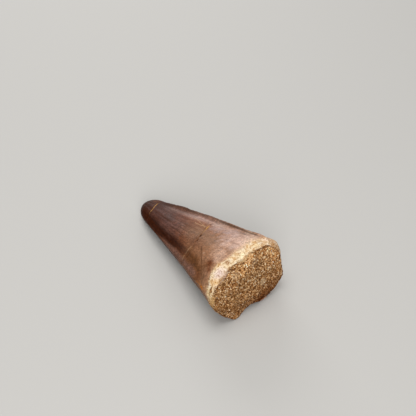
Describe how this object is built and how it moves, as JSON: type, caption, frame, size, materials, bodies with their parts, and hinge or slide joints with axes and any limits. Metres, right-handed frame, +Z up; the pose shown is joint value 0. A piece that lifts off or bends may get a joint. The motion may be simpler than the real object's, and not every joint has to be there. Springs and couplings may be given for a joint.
{
  "type": "fossil mosasaur tooth",
  "caption": "Blunt fossil reptile tooth crown, a dark enamel cone with two cutting edges, broken off flat at a sandy rock-filled end, lying on its side.",
  "frame": {"origin": "middle of the tooth's box at floor level: the tooth lies on its side on z = 0", "axes": "+X from the tip to the broken end, the tooth's long way; +Z up; +Y across, towards the side with the sharper cutting edge"},
  "size_m": [0.0602, 0.0318, 0.0241],
  "materials": {
    "enamel": "satin, semi-gloss fossil enamel, dark at the tip and paler towards the broken end",
    "matrix": "rough granular sandstone with pale and dark grains"
  },
  "bodies": {
    "root": {"tooth": "enamel"}
  },
  "joints": []
}
